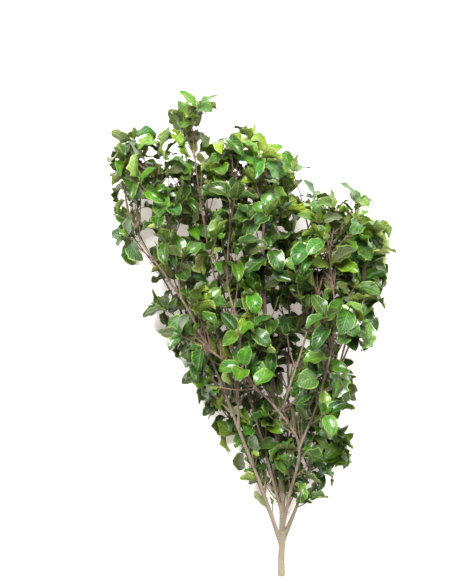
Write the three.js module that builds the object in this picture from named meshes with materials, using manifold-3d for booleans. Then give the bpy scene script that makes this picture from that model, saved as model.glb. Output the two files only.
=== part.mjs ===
// A dried pittosporum stem: one woody stem with a clean cut end, lying on a surface. Limbs
// leave it in a fan, and every limb carries whorls of twigs with small, wavy, folded leaves.
// Millimetres, +Z up. The cut end points to -Y and the tips to +Y. The stem rests on three low
// points: the underside of the cut end and the sagging outer parts of the two lowest limbs.

import * as THREE from 'three';
import Module from 'manifold-3d';

const wasm = await Module();
wasm.setup();

// Driving dimensions
const cutEndPlace = new THREE.Vector3(46, -353.25, 0);
const rootGap = 0.36;
const wireGap = 0.6;
const floorClearance = 3;
const stemSides = 6;
const limbSides = 5;
const twigSides = 4;
const ringsPerSpan = 2;
const twigRings = 3;
const twigRadius = 1.35;
const twigTaper = 0.7;
const twigToLimb = 0.85;
const twigLength = [36, 62];
const lowTwigLength = 26;
const leafyFrom = 124;
const bushyFrom = 260;
const twigSpread = [34, 54];
const leafLength = [28, 39];
const leafWidthShare = [0.57, 0.7];
const bladeThickness = 0.64;
const stalkShare = 0.12;
const stalkWidth = 1;
const rosetteHeight = 0.9;
const rosetteSpread = [60, 37];
const maxRoll = 62;
const fewestLeaves = 2;
const waveHeight = [1.1, 2];
const wavesAlong = 2.3;
const goldenAngle = 137.508;
const foliageColour = '#4c7a2c';

// Each limb's route is a smooth curve through a few points, measured from the cut end. The first
// point of a side limb lies on its parent's curve, at the parent's span "at".
const limbs = [
  { name: 'main_stem', radius: [6.4, 1.2], route: [[0, 0, 5.5], [0, 30, 5.6], [1, 72, 14],
    [-2, 166, 42], [-14, 257, 70], [-23, 345, 94], [-30, 430, 113], [-31, 504, 125],
    [-27, 562, 131], [-33, 612, 129]] },
  { name: 'left_outer_limb', parent: 'main_stem', at: 1.6, radius: [2.9, 1.1], route: [
    [-30, 139, 44], [-63, 226, 70], [-96, 312, 88], [-130, 391, 98], [-165, 446, 102],
    [-200, 495, 100], [-223, 546, 94], [-227, 592, 88]] },
  { name: 'left_inner_limb', parent: 'left_outer_limb', at: 4.45, radius: [1.8, 1], route: [
    [-155, 478, 112], [-161, 522, 118], [-175, 562, 119], [-188, 591, 116], [-198, 614, 111]] },
  { name: 'left_spur', parent: 'left_outer_limb', at: 2.3, radius: [1.7, 1], route: [
    [-99, 278, 74], [-118, 301, 71], [-134, 325, 66], [-146, 347, 60], [-153, 363, 55]] },
  { name: 'centre_left_limb', parent: 'left_outer_limb', at: 2.05, radius: [2.1, 1], route: [
    [-66, 306, 98], [-63, 367, 114], [-80, 433, 120], [-80, 489, 124], [-73, 549, 127],
    [-66, 611, 121]] },
  { name: 'tall_left_limb', parent: 'main_stem', at: 2.3, radius: [2.4, 1], route: [
    [-18, 165, 44], [-42, 253, 58], [-73, 347, 68], [-97, 438, 76], [-114, 523, 86],
    [-125, 600, 96], [-131, 666, 102]] },
  { name: 'front_limb', parent: 'main_stem', at: 1.95, radius: [2.7, 1.1], route: [
    [9, 130, 56], [21, 209, 92], [-16, 268, 116], [-58, 309, 132], [-96, 341, 139],
    [-126, 366, 138]] },
  { name: 'front_right_limb', parent: 'front_limb', at: 1.95, radius: [1.9, 1], route: [
    [42, 262, 112], [56, 317, 134], [64, 369, 148], [65, 417, 154], [59, 461, 154]] },
  { name: 'right_inner_limb', parent: 'main_stem', at: 3.55, radius: [2, 1], route: [
    [3, 276, 90], [21, 338, 114], [35, 392, 131], [49, 444, 143], [61, 492, 149],
    [68, 538, 148]] },
  { name: 'right_middle_limb', parent: 'main_stem', at: 2.15, radius: [2.3, 1], route: [
    [21, 156, 31], [35, 241, 50], [44, 329, 68], [46, 416, 82], [38, 492, 94], [26, 552, 102],
    [13, 594, 102]] },
  { name: 'right_outer_limb', parent: 'main_stem', at: 1.76, radius: [2.6, 1.1], route: [
    [31, 134, 30], [53, 211, 47], [69, 293, 66], [81, 370, 84], [89, 434, 96], [95, 486, 102],
    [98, 522, 100]] },
  { name: 'right_spur', parent: 'right_outer_limb', at: 2.8, radius: [1.8, 1], route: [
    [81, 322, 86], [95, 363, 106], [108, 405, 116], [119, 450, 116], [128, 486, 110]] },
  { name: 'left_low_limb', parent: 'main_stem', at: 1.36, radius: [2.5, 1.1], route: [
    [-23, 112, 13], [-53, 189, 19], [-90, 270, 23], [-127, 352, 22], [-164, 425, 14],
    [-196, 481, 1], [-219, 526, 9]] },
  { name: 'right_low_limb', parent: 'main_stem', at: 1.48, radius: [2.5, 1.1], route: [
    [26, 116, 13], [49, 192, 19], [72, 267, 23], [92, 342, 22], [108, 400, 14],
    [121, 452, 1], [128, 494, 9]] },
  { name: 'back_left_limb', parent: 'main_stem', at: 2.24, radius: [2.2, 1], route: [
    [-11, 152, 25], [-34, 239, 33], [-61, 328, 42], [-84, 416, 48], [-103, 496, 52],
    [-116, 558, 50]] },
  { name: 'back_right_limb', parent: 'main_stem', at: 2.02, radius: [2.2, 1], route: [
    [6, 152, 18], [9, 246, 30], [9, 335, 41], [10, 423, 48], [9, 504, 52], [5, 569, 52]] },
];

// The edge of the fan, seen from above, as [distance from the cut end, left side, right side].
const fanEdge = [[110, -42, 62], [140, -44, 80], [196, -82, 108], [254, -112, 112],
  [311, -136, 116], [369, -168, 124], [426, -208, 136], [483, -232, 150], [541, -254, 124],
  [598, -246, 34], [641, -220, -24], [684, -156, -92], [720, -150, -100]];
const leafReach = 20;

const radians = THREE.MathUtils.degToRad;
const { lerp, clamp } = THREE.MathUtils;
const up = new THREE.Vector3(0, 0, 1);
const light = new THREE.Vector3(0, 0.25, 0.97).normalize();
const cross = (a, b) => new THREE.Vector3().crossVectors(a, b);
const mix = (a, x, b, y) => a.clone().multiplyScalar(x).addScaledVector(b, y);

// A run of numbers from a seed, each between the low and high that are asked for.
function seededDraw(seed) {
  let state = (seed * 715827) % 2147483647;
  return (low, high) => {
    state = (state * 48271) % 2147483647;
    return low + (high - low) * state / 2147483647;
  };
}

// A bar is a limb or a twig: a tapering run of rings along a curve, with a first stretch that is
// straight and even. Its corners go round each ring, and it is flat where it meets the surface.
function barFrame(bar, at) {
  const tangent = bar.curve.getTangent(at);
  const across = bar.sideways ?? cross(up, tangent).normalize();
  return { tangent, across, back: cross(tangent, across) };
}

function barCorners(bar, grow = 0) {
  const corners = [];
  for (let ring = 0; ring <= bar.rings; ring++) {
    const share = Math.max(ring, 1) / bar.rings;
    const { across, back } = barFrame(bar, share);
    const centre = bar.curve.getPoint(ring / bar.rings);
    const radius = lerp(bar.radius[0], bar.radius[1], share) + grow;
    for (let side = 0; side < bar.sides; side++) {
      const angle = bar.turn + (side - 0.5) * 2 * Math.PI / bar.sides;
      const corner = centre.clone().addScaledVector(across, radius * Math.cos(angle))
        .addScaledVector(back, radius * Math.sin(angle));
      corner.z = Math.max(corner.z, -grow);
      corners.push(corner);
    }
  }
  return corners;
}

function barFaces({ sides, rings }) {
  const faces = [];
  for (let ring = 0; ring < rings; ring++)
    for (let side = 0; side < sides; side++) {
      const a = ring * sides + side;
      const b = ring * sides + (side + 1) % sides;
      faces.push(a, b, b + sides, a, b + sides, a + sides);
    }
  for (let side = 1; side < sides - 1; side++) faces.push(0, side + 1, side);
  return faces;
}

function capFaces(first, sides) {
  const faces = [];
  for (let side = 1; side < sides - 1; side++) faces.push(first, first + side, first + side + 1);
  return faces;
}

function solid(corners, faces) {
  return new wasm.Manifold(new wasm.Mesh({
    numProp: 3,
    vertProperties: new Float32Array(corners.flatMap((corner) => corner.toArray())),
    triVerts: new Uint32Array(faces),
  }));
}

function barSolid(bar, grow = 0) {
  const faces = [...barFaces(bar), ...capFaces(bar.rings * bar.sides, bar.sides)];
  return solid(barCorners(bar, grow), faces);
}

// The blade's half width as a share of its greatest: a slim stalk, a round base, an acute tip.
function outline(along) {
  const blade = (along - stalkShare) / (1 - stalkShare);
  return blade <= 0 || along >= 1 ? 0 : Math.sin(Math.PI * blade ** 0.85) ** 0.8;
}

// A place on the leaf: along runs from 0 at the root to 1 at the tip, side from -1 to 1. The
// blade curls back along its length, folds up on its midrib, twists, and waves at its margins.
function bladePoint(leaf, along, side, lift) {
  const bend = leaf.arch * along;
  const reach = leaf.length / leaf.arch;
  const centre = leaf.root.clone().addScaledVector(leaf.along, reach * Math.sin(bend))
    .addScaledVector(leaf.inner, reach * (Math.cos(bend) - 1));
  const edge = cross(leaf.along, leaf.inner);
  const upper = mix(leaf.inner, Math.cos(bend), leaf.along, Math.sin(bend));
  const twist = leaf.twist * along;
  const across = mix(edge, Math.cos(twist), upper, Math.sin(twist));
  const normal = mix(upper, Math.cos(twist), edge, -Math.sin(twist));
  const width = leaf.width / 2 * outline(along);
  const phase = side < 0 ? leaf.phase[0] : leaf.phase[1];
  const wave = leaf.wave * side * side * outline(along) *
    Math.sin(2 * Math.PI * wavesAlong * along + phase);
  return centre.addScaledVector(across, side * width * Math.cos(leaf.fold))
    .addScaledVector(normal, Math.abs(side) * width * Math.sin(leaf.fold) + wave + lift);
}

// A thin blade's corners, as [along, side] in rows up to the tip, above and then below, and its
// faces, which are the same triangles above and below. Its root is a small upright rectangle.
const bladeRows = [[0.3, -1], [0.3, 1], [0.54, -1], [0.54, 0], [0.54, 1], [0.8, -1], [0.8, 1]];
const bladeSplit = [[0, 1, 3], [0, 3, 2], [1, 4, 3], [2, 3, 5], [3, 6, 5], [3, 4, 6]];

function bladeCorners(leaf, grow = 0) {
  const grown = { ...leaf, length: leaf.length + grow, width: leaf.width + 2 * grow };
  const lift = bladeThickness / 2 + grow;
  return [
    ...bladeRows.map(([along, side]) => bladePoint(grown, along, side, lift)),
    ...bladeRows.map(([along, side]) => bladePoint(grown, along, side, -lift)),
    bladePoint(grown, 1, 0, 0),
  ];
}

function bladeFaces(first, root) {
  const under = first + bladeRows.length;
  const tip = under + bladeRows.length;
  const upper = (corner) => corner === 'tip' ? tip : root.above[corner] ?? first + corner;
  const lower = (corner) => corner === 'tip' ? tip : root.below[corner] ?? under + corner;
  const split = [['left', 'right', 1], ['left', 1, 0], ...bladeSplit, [5, 6, 'tip']];
  const faces = split.flatMap(([a, b, c]) =>
    [upper(a), upper(b), upper(c), lower(c), lower(b), lower(a)]);
  for (const [a, b] of [['right', 1], [1, 4], [4, 6], [5, 2], [2, 0], [0, 'left']])
    faces.push(lower(a), lower(b), upper(b), lower(a), upper(b), upper(a));
  return [...faces, lower(6), tip, upper(6), tip, lower(5), upper(5)];
}

// A leaf by itself, from its root or only from a share of its length on, to test what it meets.
function bladeSolid(leaf, from = 0, grow = 0) {
  const [side, height] = [stalkWidth / 2 + grow, rosetteHeight / 2 + grow];
  const centre = bladePoint(leaf, from, 0, 0);
  const edge = cross(leaf.along, leaf.inner);
  const corners = [[-side, height], [side, height], [-side, -height], [side, -height]]
    .map(([x, y]) => centre.clone().addScaledVector(edge, x).addScaledVector(leaf.inner, y));
  const root = { above: { left: 0, right: 1 }, below: { left: 2, right: 3 } };
  const faces = [1, 0, 2, 1, 2, 3, ...bladeFaces(corners.length, root)];
  return solid([...corners, ...bladeCorners(leaf, grow)], faces);
}

// A leaf where it leaves a bar: its root, its direction, and the way its upper face looks, which
// is to the bar's tip, rolled part of the way to the light.
function placedLeaf(bar, form, turn, spread) {
  const { tangent, across, back } = barFrame(bar, form.at);
  const outward = mix(across, Math.cos(turn), back, Math.sin(turn));
  const along = mix(tangent, Math.cos(spread), outward, Math.sin(spread));
  const inner = mix(tangent, Math.sin(spread), outward, -Math.cos(spread));
  const edge = cross(along, inner);
  const sunward = Math.atan2(-edge.dot(light), inner.dot(light)) * form.sunward;
  const roll = clamp(sunward, -radians(maxRoll), radians(maxRoll));
  const surface = lerp(bar.radius[0], bar.radius[1], form.at) * Math.cos(Math.PI / bar.sides);
  const root = bar.curve.getPoint(form.at).addScaledVector(outward, surface)
    .addScaledVector(tangent, rosetteHeight / 2);
  return { ...form, root, along, inner: mix(inner, Math.cos(roll), edge, -Math.sin(roll)) };
}

// The plan of a leaf: every number that its place and form need.
function leafPlan(draw, at, turn, spread, size) {
  const length = size * draw(leafLength[0], leafLength[1]);
  return {
    at,
    length,
    width: length * draw(leafWidthShare[0], leafWidthShare[1]),
    turn: turn + radians(draw(-12, 12)),
    spread: radians(spread + draw(-6, 6)),
    arch: radians(draw(12, 78)) * (draw(0, 1) < 0.12 ? -0.5 : 1),
    fold: radians(draw(6, 34)),
    twist: radians(draw(-30, 30)),
    wave: draw(waveHeight[0], waveHeight[1]),
    phase: [draw(0, 6.28), draw(0, 6.28)],
    sunward: draw(0.1, 0.8),
  };
}

// The rosette at a bar's end has one leaf for each side of the bar, by turns spread and steep.
function rosettePlan(draw, bar, size) {
  return Array.from({ length: bar.sides }, (_, side) =>
    leafPlan(draw, 1, bar.turn + side * 2 * Math.PI / bar.sides, rosetteSpread[side % 2], size));
}

// The whole plan of a limb: a whorl of twigs in each leafy span, and the rosette at its tip.
function limbPlan(limb, index) {
  const draw = seededDraw(index + 3);
  const spans = limb.curve.points.length - 1;
  const twigs = [];
  for (let span = 0; span < spans; span++) {
    const whorl = span + draw(0.35, 0.7);
    const bushy = clamp((limb.curve.getPoint(whorl / spans).y - leafyFrom) /
      (bushyFrom - leafyFrom), 0, 1);
    const count = Math.floor(draw(2.4, 4.6));
    for (let k = 0; k < count; k++) {
      const at = Math.min((whorl + draw(-0.12, 0.12)) / spans, 0.95);
      const radius = Math.min(twigRadius, twigToLimb * lerp(...limb.radius, at));
      const twig = {
        at,
        inSource: k === 0,
        sides: twigSides,
        rings: twigRings,
        radius: [radius, radius * twigTaper],
        length: lerp(lowTwigLength, draw(twigLength[0], twigLength[1]), bushy),
        leaving: radians(goldenAngle * (span + k) + 70 * index + draw(-25, 25)),
        spread: radians(draw(twigSpread[0], twigSpread[1])),
        turn: radians(draw(0, 360 / twigSides)),
      };
      twig.rosette = rosettePlan(draw, twig, lerp(0.82, 1, bushy));
      if (bushy > 0) twigs.push(twig);
    }
  }
  return { twigs, rosette: rosettePlan(draw, limb, 1) };
}

// A twig's curve: it leaves its limb at the spread angle and bends towards the limb's direction.
function bendTwig(limb, twig, swing) {
  const root = limb.curve.getPoint(twig.at);
  const { tangent, across, back } = barFrame(limb, twig.at);
  const leaving = twig.leaving + swing;
  const outward = mix(across, Math.cos(leaving), back, Math.sin(leaving));
  const along = mix(tangent, Math.cos(twig.spread), outward, Math.sin(twig.spread));
  const middle = root.clone().addScaledVector(along, twig.length * 0.5);
  const end = middle.clone().addScaledVector(along, twig.length * 0.27)
    .addScaledVector(tangent, twig.length * 0.25);
  twig.curve = new THREE.QuadraticBezierCurve3(root, middle, end);
  twig.sideways = cross(tangent, outward);
}

// Whether a twig that ends at this point keeps its leaves inside the fan.
function isInFan({ x, y }) {
  const far = Math.max(1, fanEdge.findIndex((row) => row[0] > y));
  const [near, next] = [fanEdge[far - 1], fanEdge[far]];
  const share = (y - near[0]) / (next[0] - near[0]);
  const [left, right] = [1, 2].map((side) => lerp(near[side], next[side], share));
  return x > left + leafReach && x < right - leafReach;
}

// Everything placed so far. A new twig is turned step by step round its limb, and a new leaf is
// raised or lowered, until it clears all of it and stays above the surface.
const placed = [];
const steps = [0, 1, -1, 2, -2, 3, -3];

function isClear(probe, concerns) {
  const box = probe.boundingBox();
  if (box.min[2] < floorClearance) return false;
  return placed.every((other) => !concerns(other) ||
    other.box.min.some((low, k) => low > box.max[k]) ||
    other.box.max.some((high, k) => high < box.min[k]) ||
    probe.intersect(other.solid).isEmpty());
}

function keep(body, owner) {
  placed.push({ solid: body, box: body.boundingBox(), owner });
  return body;
}

// The limbs' wood first.
for (const limb of limbs) {
  const points = limb.route.map((point) => new THREE.Vector3(...point));
  if (limb.parent) {
    limb.carrier = limbs.find((other) => other.name === limb.parent);
    points.unshift(limb.carrier.curve.getPoint(limb.at / (limb.carrier.curve.points.length - 1)));
  }
  limb.curve = new THREE.CatmullRomCurve3(points, false, 'catmullrom', 0.5);
  limb.sides = limb.parent ? limbSides : stemSides;
  limb.rings = ringsPerSpan * (points.length - 1);
  limb.turn = -Math.PI / 2;
  keep(barSolid(limb), limb);
}

// Then the twigs, and last the leaves of every rosette, those at the limbs' tips first. A twig
// that found room for hardly any leaves is left out.
limbs.forEach((limb, index) => {
  limb.plan = limbPlan(limb, index);
  limb.twigs = limb.plan.twigs.filter((twig) => twig.inSource && steps.some((step) => {
    bendTwig(limb, twig, radians(33 * step));
    return isInFan(twig.curve.v2) &&
      isClear(barSolid(twig, wireGap), ({ owner }) => owner !== limb) &&
      keep(barSolid(twig), twig);
  }));
});

function growRosette(bar, rosette) {
  return rosette.map((form) => {
    for (const step of steps) {
      const leaf = placedLeaf(bar, form, form.turn, form.spread + radians(9 * step));
      const isKin = ({ owner }) => owner === bar;
      if (isClear(bladeSolid(leaf, 0, wireGap), (other) => !isKin(other)) &&
        isClear(bladeSolid(leaf, stalkShare), isKin)) {
        keep(bladeSolid(leaf), bar);
        return leaf;
      }
    }
    return null;
  });
}

// A bar and the rosette at its end as one body. Each side of the bar's end carries a leaf, and
// where a leaf found no room, that side is closed.
function shootSolid(bar, rosette) {
  const corners = barCorners(bar);
  const faces = barFaces(bar);
  const end = bar.rings * bar.sides;
  const rise = barFrame(bar, 1).tangent.multiplyScalar(rosetteHeight);
  for (const corner of corners.slice(end)) corners.push(corner.clone().add(rise));
  rosette.forEach((leaf, side) => {
    const right = end + side;
    const left = end + (side + 1) % bar.sides;
    if (!leaf) {
      faces.push(right, left, left + bar.sides, right, left + bar.sides, right + bar.sides);
      return;
    }
    const root = { above: { left: left + bar.sides, right: right + bar.sides },
      below: { left, right } };
    faces.push(...bladeFaces(corners.length, root));
    corners.push(...bladeCorners(leaf));
  });
  return solid(corners, [...faces, ...capFaces(end + bar.sides, bar.sides)]);
}

for (const limb of limbs) limb.rosette = growRosette(limb, limb.plan.rosette);
for (const limb of limbs) {
  for (const twig of limb.twigs) twig.grown = growRosette(twig, twig.rosette);
  limb.twigs = limb.twigs.filter((twig) => twig.grown.filter(Boolean).length >= fewestLeaves);
}

// Each limb with its twigs and leaves is one body. A side limb's root is cut to sit on its
// parent with a small gap.
const stem = new THREE.Group();
stem.position.copy(cutEndPlace);
for (const limb of limbs) {
  let wood = shootSolid(limb, limb.rosette);
  if (limb.carrier) {
    const pieces = wood.subtract(barSolid(limb.carrier, rootGap)).decompose();
    wood = pieces.reduce((best, piece) => piece.volume() > best.volume() ? piece : best);
  }
  const shoots = limb.twigs.map((twig) => shootSolid(twig, twig.grown));
  const { vertProperties, triVerts } = wasm.Manifold.union([wood, ...shoots]).getMesh();
  const geometry = new THREE.BufferGeometry();
  geometry.setAttribute('position', new THREE.BufferAttribute(vertProperties, 3));
  geometry.setIndex(new THREE.BufferAttribute(triVerts, 1));
  geometry.computeVertexNormals();
  const mesh = new THREE.Mesh(geometry, new THREE.MeshStandardMaterial({
    color: foliageColour, roughness: 0.5, metalness: 0,
  }));
  mesh.name = limb.name;
  stem.add(mesh);
}

export default stem;
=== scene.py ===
# A dried pittosporum stem, lying on a pale surface and seen from straight above. The limbs leave
# one cut stem in a fan and carry twigs in whorls, with small glossy leaves in rosettes on them.
from math import atan2, cos, pi, radians, sin

import bmesh
import bpy
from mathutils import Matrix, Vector
from mathutils.bvhtree import BVHTree


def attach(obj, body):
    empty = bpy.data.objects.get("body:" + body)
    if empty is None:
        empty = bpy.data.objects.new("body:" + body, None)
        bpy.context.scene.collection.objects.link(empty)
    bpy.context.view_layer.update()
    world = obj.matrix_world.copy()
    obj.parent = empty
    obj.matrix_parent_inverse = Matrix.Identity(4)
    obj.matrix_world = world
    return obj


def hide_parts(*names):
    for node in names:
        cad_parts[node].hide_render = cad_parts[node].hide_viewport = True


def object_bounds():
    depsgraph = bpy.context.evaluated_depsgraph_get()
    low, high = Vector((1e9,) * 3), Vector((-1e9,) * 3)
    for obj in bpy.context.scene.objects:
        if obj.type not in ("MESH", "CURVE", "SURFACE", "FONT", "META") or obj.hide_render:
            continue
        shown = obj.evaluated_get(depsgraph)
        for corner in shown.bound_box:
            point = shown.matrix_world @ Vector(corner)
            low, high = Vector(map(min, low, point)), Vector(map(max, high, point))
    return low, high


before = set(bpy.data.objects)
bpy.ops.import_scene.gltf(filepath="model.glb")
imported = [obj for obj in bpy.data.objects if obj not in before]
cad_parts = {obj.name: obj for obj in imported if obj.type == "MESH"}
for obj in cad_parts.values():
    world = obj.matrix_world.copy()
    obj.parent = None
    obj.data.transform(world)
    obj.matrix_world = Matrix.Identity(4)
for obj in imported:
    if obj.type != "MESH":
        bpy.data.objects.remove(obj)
solids_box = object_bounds()

# The camera looks down on the lying stem as the photo looks at its front. The photo's lower edge
# cuts the stem off, and here the cut end lies just above that edge.
def new_object(name, data):
    made = bpy.data.objects.new(name, data)
    bpy.context.scene.collection.objects.link(made)
    return made


camera = new_object("camera", bpy.data.cameras.new("camera"))
camera.location = (-0.0369, 0.0744, 1.68)
camera.data.lens = 68.78
bpy.context.scene.camera = camera

# Main stem and limbs: the wood that carries everything. It grew as one piece, round and slowly
# tapering, with thin bark, a slight swelling where each limb starts, and one clean sloping cut.
# Routes are in millimetres from the cut end, and a limb starts on its parent's curve.
cut_end_place = Vector((46, -353.25, 0))
up = Vector((0, 0, 1))
stem_sides = 6
limb_sides = 5
tangent_step = 0.0005
# Each limb has its parent, its start in spans of the parent, its end radii and its route.
limb_routes = {
    "main_stem": (None, 0, (6.4, 1.2), [
        (0, 0, 5.5), (0, 30, 5.6), (1, 72, 14), (-2, 166, 42), (-14, 257, 70), (-23, 345, 94),
        (-30, 430, 113), (-31, 504, 125), (-27, 562, 131), (-33, 612, 129)]),
    "left_outer_limb": ("main_stem", 1.6, (2.9, 1.1), [
        (-30, 139, 44), (-63, 226, 70), (-96, 312, 88), (-130, 391, 98), (-165, 446, 102),
        (-200, 495, 100), (-223, 546, 94), (-227, 592, 88)]),
    "left_inner_limb": ("left_outer_limb", 4.45, (1.8, 1), [
        (-155, 478, 112), (-161, 522, 118), (-175, 562, 119), (-188, 591, 116),
        (-198, 614, 111)]),
    "left_spur": ("left_outer_limb", 2.3, (1.7, 1), [
        (-99, 278, 74), (-118, 301, 71), (-134, 325, 66), (-146, 347, 60), (-153, 363, 55)]),
    "centre_left_limb": ("left_outer_limb", 2.05, (2.1, 1), [
        (-66, 306, 98), (-63, 367, 114), (-80, 433, 120), (-80, 489, 124), (-73, 549, 127),
        (-66, 611, 121)]),
    "tall_left_limb": ("main_stem", 2.3, (2.4, 1), [
        (-18, 165, 44), (-42, 253, 58), (-73, 347, 68), (-97, 438, 76), (-114, 523, 86),
        (-125, 600, 96), (-131, 666, 102)]),
    "front_limb": ("main_stem", 1.95, (2.7, 1.1), [
        (9, 130, 56), (21, 209, 92), (-16, 268, 116), (-58, 309, 132), (-96, 341, 139),
        (-126, 366, 138)]),
    "front_right_limb": ("front_limb", 1.95, (1.9, 1), [
        (42, 262, 112), (56, 317, 134), (64, 369, 148), (65, 417, 154), (59, 461, 154)]),
    "right_inner_limb": ("main_stem", 3.55, (2, 1), [
        (3, 276, 90), (21, 338, 114), (35, 392, 131), (49, 444, 143), (61, 492, 149),
        (68, 538, 148)]),
    "right_middle_limb": ("main_stem", 2.15, (2.3, 1), [
        (21, 156, 31), (35, 241, 50), (44, 329, 68), (46, 416, 82), (38, 492, 94),
        (26, 552, 102), (13, 594, 102)]),
    "right_outer_limb": ("main_stem", 1.76, (2.6, 1.1), [
        (31, 134, 30), (53, 211, 47), (69, 293, 66), (81, 370, 84), (89, 434, 96),
        (95, 486, 102), (98, 522, 100)]),
    "right_spur": ("right_outer_limb", 2.8, (1.8, 1), [
        (81, 322, 86), (95, 363, 106), (108, 405, 116), (119, 450, 116), (128, 486, 110)]),
    "left_low_limb": ("main_stem", 1.36, (2.5, 1.1), [
        (-23, 112, 13), (-53, 189, 19), (-90, 270, 23), (-127, 352, 22), (-164, 425, 14),
        (-196, 481, 1), (-219, 526, 9)]),
    "right_low_limb": ("main_stem", 1.48, (2.5, 1.1), [
        (26, 116, 13), (49, 192, 19), (72, 267, 23), (92, 342, 22), (108, 400, 14),
        (121, 452, 1), (128, 494, 9)]),
    "back_left_limb": ("main_stem", 2.24, (2.2, 1), [
        (-11, 152, 25), (-34, 239, 33), (-61, 328, 42), (-84, 416, 48), (-103, 496, 52),
        (-116, 558, 50)]),
    "back_right_limb": ("main_stem", 2.02, (2.2, 1), [
        (6, 152, 18), (9, 246, 30), (9, 335, 41), (10, 423, 48), (9, 504, 52), (5, 569, 52)]),
}


def spline(points):
    """The smooth curve through these points, as a function of the share of its length."""
    spans = len(points) - 1
    run = [2 * points[0] - points[1], *points, 2 * points[-1] - points[-2]]

    def point(at):
        span = min(int(at * spans), spans - 1)
        part = at * spans - span
        before, start, end, after = run[span:span + 4]
        leave, arrive = (end - before) / 2, (after - start) / 2
        return (start + leave * part + (3 * (end - start) - 2 * leave - arrive) * part ** 2
                + (2 * (start - end) + leave + arrive) * part ** 3)
    return point


def bar_frame(bar, at):
    """The direction of a limb or twig at a place on it, and two directions across it."""
    low, high = max(at - tangent_step, 0), min(at + tangent_step, 1)
    tangent = (bar["point"](high) - bar["point"](low)).normalized()
    across = bar["sideways"] or up.cross(tangent).normalized()
    return tangent, across, tangent.cross(across)


def bar_radius(bar, at):
    thick, thin = bar["radius"]
    return thick + (thin - thick) * at


def in_metres(place):
    """A place in the scene, from its millimetres from the cut end."""
    return (place + cut_end_place) / 1000


def kept_in_box(place):
    """A place in metres, moved back in where it would leave the solids' box."""
    low, high = solids_box
    return Vector(min(max(value, low[k]), high[k]) for k, value in enumerate(in_metres(place)))


limb_named = {}
for name, (parent, at, radius, route) in limb_routes.items():
    points = [Vector(place) for place in route]
    carrier = limb_named.get(parent)
    if carrier:
        points.insert(0, carrier["point"](at / carrier["spans"]))
    limb_named[name] = {
        "name": name, "carrier": carrier, "point": spline(points), "spans": len(points) - 1,
        "radius": radius, "sideways": None, "sides": limb_sides if carrier else stem_sides,
        "turn": -pi / 2,
    }
limbs = list(limb_named.values())


def mesh_of(name, builder):
    mesh = bpy.data.meshes.new(name)
    builder.to_mesh(mesh)
    builder.free()
    return mesh


def rod_template(sides, rings):
    """A closed unit rod, cut into rings, which is then laid along a limb, twig or stalk."""
    rod = bmesh.new()
    bmesh.ops.create_cone(rod, cap_ends=True, segments=sides, radius1=1, radius2=1, depth=1)
    lengthwise = [edge for edge in rod.edges if edge.verts[0].co.z * edge.verts[1].co.z < 0]
    bmesh.ops.subdivide_edges(rod, edges=lengthwise, cuts=rings - 1, use_grid_fill=True)
    return mesh_of("rod", rod)


def new_wood():
    """An empty piece of wood, whose vertices carry their place in its grain and their age."""
    wood = bmesh.new()
    wood.verts.layers.float_vector.new("grain")
    wood.verts.layers.float.new("age")
    return wood


def added(builder, template):
    """The vertices and faces that a template adds to a piece."""
    first_vert, first_face = len(builder.verts), len(builder.faces)
    builder.from_mesh(template)
    builder.verts.ensure_lookup_table()
    builder.faces.ensure_lookup_table()
    return builder.verts[first_vert:], builder.faces[first_face:]


def lay_rod(wood, template, bar, girth, age):
    """Adds a rod along a bar. girth gives its radius and age its bark's age at a share of it."""
    grain = wood.verts.layers.float_vector["grain"]
    old = wood.verts.layers.float["age"]
    length = bar["length"]
    verts, faces = added(wood, template)
    for vert in verts:
        x, y, share = vert.co.x, vert.co.y, min(max(vert.co.z + 0.5, 0), 1)
        tangent, across, back = bar_frame(bar, share)
        radius = girth(share)
        vert[grain] = (x * radius, y * radius, share * length)
        vert[old] = age(share)
        vert.co = kept_in_box(bar["point"](share) + (across * x + back * y) * radius)
    return faces


def new_piece(name, builder, materials, limb):
    """A finished piece at the origin, which rides with the stem and stands for its CAD node."""
    piece = new_object(name, mesh_of(name, builder))
    for material in materials:
        piece.data.materials.append(material)
    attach(piece, "root")
    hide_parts(limb["name"])


def node(tree, kind, inputs=None, **settings):
    """Adds a shader node. An input is a plain value, or the output that feeds it."""
    made = tree.nodes.new(kind)
    for key, value in settings.items():
        setattr(made, key, value)
    for key, value in (inputs or {}).items():
        if isinstance(value, bpy.types.NodeSocket):
            tree.links.new(value, made.inputs[key])
        else:
            made.inputs[key].default_value = value
    return made


def math(tree, operation, *values, clamp=False):
    return node(tree, "ShaderNodeMath", dict(enumerate(values)), operation=operation,
                use_clamp=clamp).outputs[0]


def mixed(tree, share, first, second):
    return node(tree, "ShaderNodeMix", {0: share, 6: first, 7: second},
                data_type="RGBA").outputs[2]


def carried(tree, name, output="Fac"):
    """A value that the piece's mesh carries at each vertex."""
    return node(tree, "ShaderNodeAttribute", attribute_name=name).outputs[output]


def object_place(tree):
    return node(tree, "ShaderNodeTexCoord").outputs["Object"]


def stretched(tree, vector, scale):
    return node(tree, "ShaderNodeMapping", {"Vector": vector, "Scale": scale}).outputs[0]


def clouds(tree, vector, scale, detail=3):
    return node(tree, "ShaderNodeTexNoise",
                {"Vector": vector, "Scale": scale, "Detail": detail}).outputs["Fac"]


def three_toned(tree, share, first, middle, last, middle_at=0.5):
    """A colour that goes from the first over the middle to the last one with the share."""
    ramp = node(tree, "ShaderNodeValToRGB", {0: share})
    ramp.color_ramp.elements[0].color = first
    ramp.color_ramp.elements[1].color = last
    ramp.color_ramp.elements.new(middle_at).color = middle
    return ramp.outputs[0]


def new_material(name, **settings):
    """A material and its shader, with the values that are the same all over set on it."""
    material = bpy.data.materials.new(name)
    material.use_nodes = True
    shader = material.node_tree.nodes["Principled BSDF"]
    for key, value in settings.items():
        shader.inputs[key.replace("_", " ")].default_value = value
    return material, material.node_tree, shader


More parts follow.
